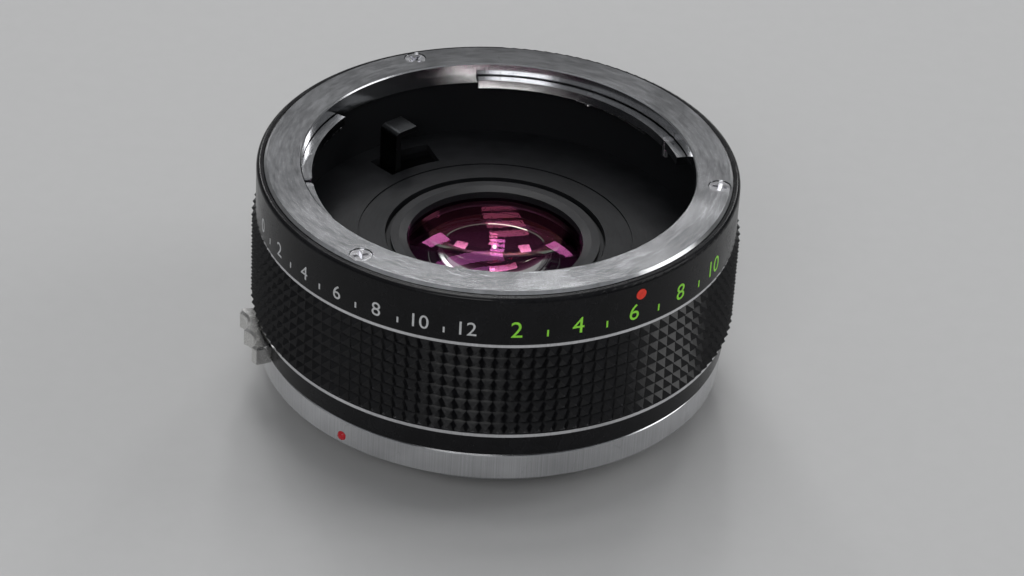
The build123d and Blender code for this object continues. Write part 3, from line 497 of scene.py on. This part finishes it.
class CONVERTER_OT_fasteners(Operator):
    """Finish the screws, rivets, pins, leaf springs and coils"""
    bl_idname = "converter.fasteners"
    bl_label = "Fasteners and Springs"

    def execute(self, context):
        colours = context.scene.converter_colours
        coat(bright_finish("screw_steel", tuple(colours.screw_metal), 0.17),
             "front_mount_screws", "rear_mount_screws", "barrel_screws", "shroud_screws",
             "lever_screws", "spring_rivets", "stop_pin", "lock_pin")
        coat(bright_finish("spring_steel", tuple(colours.spring_metal), 0.28),
             "bayonet_springs", "lock_spring", "return_spring", "coupling_clip")
        return {"FINISHED"}


class CONVERTER_OT_barrels(Operator):
    """Finish the black barrels and the knurled grip"""
    bl_idname = "converter.barrels"
    bl_label = "Barrels and Grip"

    def execute(self, context):
        colours = context.scene.converter_colours
        coat(barrel_finish("barrel_black", tuple(colours.band_black), tuple(colours.inner_black)),
             "front_barrel", "rear_barrel")
        coat(grip_finish("grip_black", tuple(colours.grip_black), tuple(colours.grip_wear)),
             "grip_sleeve")
        return {"FINISHED"}


class CONVERTER_OT_linkage(Operator):
    """Finish the release lever, the aperture levers and the coupling ring"""
    bl_idname = "converter.linkage"
    bl_label = "Levers and Coupling"

    def execute(self, context):
        colours = context.scene.converter_colours
        coat(brushed_finish("lever_chrome", tuple(colours.lever_metal), 0.24), "release_lever")
        coat(brushed_finish("lever_dark", tuple(colours.dark_metal), 0.30),
             "front_aperture_lever", "rear_aperture_lever")
        coat(flange_finish("ring_brass", tuple(colours.brass), depth=0.0015), "coupling_ring")
        return {"FINISHED"}


class CONVERTER_OT_optics(Operator):
    """Finish the glass, its rings and the flat black floor round it"""
    bl_idname = "converter.optics"
    bl_label = "Optics"

    def execute(self, context):
        colours = context.scene.converter_colours
        coat(flat_black_finish("throat_floor", tuple(colours.inner_black), 0.50),
             "front_baffle", "rear_shroud", "front_spacer", "middle_spacer", "rear_spacer",
             "rear_lens_ring", "lens_cell")
        coat(flat_black_finish("bezel", tuple(colours.bezel_grey), 0.42), "front_lens_ring")
        coat(glass_finish("front_glass", tuple(colours.coating), tuple(colours.glass_body),
                          index=1.52, film=118.0), "front_element", "rear_element")
        coat(glass_finish("second_glass", tuple(colours.amber_coating),
                          tuple(colours.inner_body), index=1.66, film=104.0), "second_element")
        coat(glass_finish("third_glass", tuple(colours.violet_coating),
                          tuple(colours.inner_body), index=1.56, film=104.0), "third_element")
        return {"FINISHED"}


class CONVERTER_OT_index_marks(Operator):
    """Finish the red dot on the band and the red bead on the rear flange"""
    bl_idname = "converter.index_marks"
    bl_label = "Index Marks"

    def execute(self, context):
        colours = context.scene.converter_colours
        coat(enamel_finish("dot_enamel", tuple(colours.dot_red), 0.38), "front_index_dot")
        coat(enamel_finish("bead_enamel", tuple(colours.bead_red), 0.12), "rear_index_bead")
        return {"FINISHED"}


# Printed scales


def figure_outline(text, height):
    """The flat mesh of a figure: points across and up, and faces, centred."""
    curve = bpy.data.curves.new("figure", "FONT")
    curve.body = text
    curve.align_x = "CENTER"
    curve.resolution_u = 6
    shown = bpy.data.objects.new("figure", curve)
    bpy.context.collection.objects.link(shown)
    graph = bpy.context.evaluated_depsgraph_get()
    flat = bpy.data.meshes.new_from_object(shown.evaluated_get(graph))
    points = [(point.co.x, point.co.y) for point in flat.vertices]
    faces = [tuple(face.vertices) for face in flat.polygons]
    bpy.data.objects.remove(shown)
    bpy.data.curves.remove(curve)
    bpy.data.meshes.remove(flat)
    low = min(y for x, y in points)
    high = max(y for x, y in points)
    middle = (min(x for x, y in points) + max(x for x, y in points)) / 2
    size = height / (high - low)
    points = [((x - middle) * size, (y - (low + high) / 2) * size) for x, y in points]
    return points, faces


def tick_outline(width, height):
    """The flat mesh of a graduation mark, in two columns."""
    half, top = width / 2, height / 2
    points = [(-half, -top), (0, -top), (half, -top), (half, top), (0, top), (-half, top)]
    return points, [(0, 1, 4, 5), (1, 2, 3, 4)]


def wrapped_scale(name, marks, sizes, material):
    """Marks bent round the band. Each has an outline, an angle and a height."""
    points = []
    faces = []
    outer = sizes.band_radius + sizes.ink_thickness
    inner = sizes.band_radius - sizes.ink_thickness
    for (outline, panels), angle, height in marks:
        first = len(points)
        count = len(outline)
        for radius in (outer, inner):
            for across, up in outline:
                turn = angle + across / sizes.band_radius
                points.append((radius * math.cos(turn), radius * math.sin(turn), height + up))
        uses = {}
        for panel in panels:
            faces.append(tuple(first + i for i in panel))
            faces.append(tuple(first + count + i for i in reversed(panel)))
            for start, end in zip(panel, panel[1:] + panel[:1]):
                uses[(start, end)] = uses.get((start, end), 0) + 1
        for start, end in uses:
            if (end, start) not in uses:
                faces.append((first + start, first + count + start,
                              first + count + end, first + end))
    mesh = bpy.data.meshes.new(name)
    mesh.from_pydata(points, [], faces)
    mesh.validate()
    mesh.materials.append(material)
    shown = bpy.data.objects.new(name, mesh)
    bpy.context.collection.objects.link(shown)
    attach(shown, "barrel")
    return shown


def scale_marks(figures, start, end, middle, height, sizes):
    """Figures spread evenly from start to end, with a low graduation mark between two."""
    marks = []
    step = (end - start) / (len(figures) - 1)
    for place, text in enumerate(figures):
        marks.append((figure_outline(text, height), start + step * place, middle))
        if place == len(figures) - 1:
            continue
        tall = height * sizes.tick_share
        marks.append((tick_outline(sizes.tick_width, tall), start + step * (place + 0.5),
                      middle - (height - tall) / 2))
    return marks


class CONVERTER_OT_scales(Operator):
    """Print the two scales of plain figures and graduation marks on the front band"""
    bl_idname = "converter.scales"
    bl_label = "Printed Scales"

    def execute(self, context):
        colours = context.scene.converter_colours
        sizes = context.scene.converter_sizes
        white = enamel_finish("scale_white", tuple(colours.scale_white), 0.5)
        green = enamel_finish("scale_green", tuple(colours.scale_green), 0.45)
        left = scale_marks(["0", "2", "4", "6", "8", "10", "12"], sizes.white_start,
                           sizes.white_end, sizes.white_middle, sizes.white_height, sizes)
        right = scale_marks(["2", "4", "6", "8", "10"], sizes.green_start, sizes.green_end,
                            sizes.green_middle, sizes.green_height, sizes)
        wrapped_scale("left_scale", left, sizes, white)
        wrapped_scale("right_scale", right, sizes, green)
        return {"FINISHED"}


# Studio


def bowl(name, reach, height, level, material):
    """A round floor that curves up into a wall all round."""
    bend = height * 0.45
    bend_steps = 12
    profile = [(reach * share, 0.0) for share in (0.0, 0.15, 0.4, 0.7, 1.0)]
    for step in range(1, bend_steps + 1):
        turn = math.pi / 2 * step / bend_steps
        profile.append((reach + bend * math.sin(turn), bend * (1 - math.cos(turn))))
    profile.append((reach + bend, height))
    sides = 96
    points = [(0.0, 0.0, level)]
    faces = []
    for radius, rise in profile[1:]:
        for side in range(sides):
            turn = 2 * math.pi * side / sides
            points.append((radius * math.cos(turn), radius * math.sin(turn), level + rise))
    for side in range(sides):
        after = (side + 1) % sides
        faces.append((0, 1 + side, 1 + after))
        for ring in range(len(profile) - 2):
            low = 1 + ring * sides
            high = low + sides
            faces.append((low + side, high + side, high + after, low + after))
    mesh = bpy.data.meshes.new(name)
    mesh.from_pydata(points, [], faces)
    for face in mesh.polygons:
        face.use_smooth = True
    mesh.materials.append(material)
    shown = bpy.data.objects.new(name, mesh)
    bpy.context.collection.objects.link(shown)
    shown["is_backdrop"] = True
    return shown


def softbox(name, place, target, width, depth, power):
    """A large area lamp that faces a target."""
    lamp = bpy.data.lights.new(name, "AREA")
    lamp.shape = "RECTANGLE"
    lamp.size = width
    lamp.size_y = depth
    lamp.energy = power
    shown = bpy.data.objects.new(name, lamp)
    shown.location = place
    way = Vector(target) - Vector(place)
    shown.rotation_euler = way.to_track_quat("-Z", "Y").to_euler()
    bpy.context.collection.objects.link(shown)
    return shown


def slatted_window(name, place, target, width, height, slats, power):
    """A window of lit slats one above another, which shows as stripes in the front glass."""
    lit_share = 0.68
    way = (Vector(target) - Vector(place)).normalized()
    across = way.cross(Vector((0, 0, 1))).normalized()
    upward = across.cross(way)
    pitch = height / slats
    for slat in range(slats):
        shift = upward * pitch * (slat - (slats - 1) / 2)
        softbox(f"{name}_{slat + 1}", Vector(place) + shift, Vector(target) + shift,
                width, pitch * lit_share, power / slats)


def photo_camera(sizes):
    """The camera, set so that the front face's middle falls where the photograph has it."""
    width, height = 1024, 576
    face_middle = (499.2, 162.7)
    focal = sizes.focal_length * width / sizes.sensor_width
    rise = sizes.camera_rise
    forward = Vector((0, math.cos(rise), -math.sin(rise)))
    right = Vector((1, 0, 0))
    up = right.cross(forward)
    base = Matrix((right, up, -forward)).transposed()
    sight = Vector(((face_middle[0] - width / 2) / focal,
                    -(face_middle[1] - height / 2) / focal, -1))
    swing = sight.normalized().rotation_difference(Vector((0, 0, -1))).to_matrix()
    turn = base @ Matrix.Rotation(sizes.camera_roll, 3, "Z") @ swing
    data = bpy.data.cameras.new("photo_camera")
    data.lens = sizes.focal_length
    data.sensor_width = sizes.sensor_width
    data.clip_start = 0.01
    data.clip_end = 20
    shown = bpy.data.objects.new("photo_camera", data)
    shown.matrix_world = Matrix.Translation(
        Vector((0, 0, node_top("front_mount_ring"))) - forward * sizes.camera_distance
    ) @ turn.to_4x4()
    bpy.context.collection.objects.link(shown)
    bpy.context.scene.camera = shown
    return shown


def studio_world(colours, sizes):
    """An even, slightly cool world."""
    world = bpy.data.worlds.new("studio")
    world.use_nodes = True
    sky = world.node_tree.nodes["Background"]
    sky.inputs["Color"].default_value = (*colours.sky, 1.0)
    sky.inputs["Strength"].default_value = sizes.sky_strength
    bpy.context.scene.world = world


class CONVERTER_OT_studio(Operator):
    """Set up the floor and backdrop, the soft lamps, the world and the camera"""
    bl_idname = "converter.studio"
    bl_label = "Studio"

    def execute(self, context):
        colours = context.scene.converter_colours
        sizes = context.scene.converter_sizes
        bowl("studio_floor", sizes.floor_reach, sizes.wall_height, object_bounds()[0][2],
             floor_finish("floor_paper", tuple(colours.floor)))
        aim = (0, 0, sizes.aim_height)
        slatted_window("roof_light", place=(-0.12, 0.5, 1.4), target=aim, width=0.62,
                       height=1.25, slats=4, power=9)
        softbox("side_fill", place=(1.1, 0.1, 0.7), target=aim, width=0.5, depth=0.7, power=2.4)
        softbox("front_fill", place=(-0.2, -1.1, 0.8), target=aim, width=0.7, depth=0.5,
                power=4.2)
        softbox("back_left_pane", place=(-0.39, 1.06, 0.66), target=aim, width=0.15, depth=0.3,
                power=1.3)
        softbox("back_right_pane", place=(0.44, 1.06, 0.64), target=aim, width=0.17, depth=0.3,
                power=1.3)
        slatted_window("window", place=(0.02, 0.84, 0.875), target=aim, width=0.09,
                       height=0.3, slats=4, power=0.95)
        studio_world(colours, sizes)
        photo_camera(sizes)
        context.scene.view_settings.view_transform = "Standard"
        return {"FINISHED"}


OPERATORS = (CONVERTER_OT_flanges, CONVERTER_OT_fasteners, CONVERTER_OT_barrels,
             CONVERTER_OT_linkage, CONVERTER_OT_optics, CONVERTER_OT_index_marks,
             CONVERTER_OT_scales, CONVERTER_OT_studio)


class CONVERTER_PT_dresser(Panel):
    """Buttons and settings of the dresser"""
    bl_idname = "CONVERTER_PT_dresser"
    bl_label = "Teleconverter Dresser"
    bl_space_type = "VIEW_3D"
    bl_region_type = "UI"
    bl_category = "Converter"

    def draw(self, context):
        column = self.layout.column()
        for operator in OPERATORS:
            column.operator(operator.bl_idname)
        for group in (context.scene.converter_sizes, context.scene.converter_colours):
            box = column.box()
            for key in group.bl_rna.properties.keys():
                if key not in ("rna_type", "name"):
                    box.prop(group, key)


CLASSES = (ConverterColours, ConverterSizes) + OPERATORS + (CONVERTER_PT_dresser,)


def register():
    """Registers the classes and their settings."""
    for item in CLASSES:
        bpy.utils.register_class(item)
    bpy.types.Scene.converter_colours = PointerProperty(type=ConverterColours)
    bpy.types.Scene.converter_sizes = PointerProperty(type=ConverterSizes)


def unregister():
    """Takes the classes and their settings away again."""
    del bpy.types.Scene.converter_sizes
    del bpy.types.Scene.converter_colours
    for item in reversed(CLASSES):
        bpy.utils.unregister_class(item)


def main():
    """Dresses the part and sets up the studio."""
    register()
    bpy.ops.converter.flanges()
    bpy.ops.converter.fasteners()
    bpy.ops.converter.barrels()
    bpy.ops.converter.linkage()
    bpy.ops.converter.optics()
    bpy.ops.converter.index_marks()
    bpy.ops.converter.scales()
    bpy.ops.converter.studio()


if __name__ == "__main__":
    main()
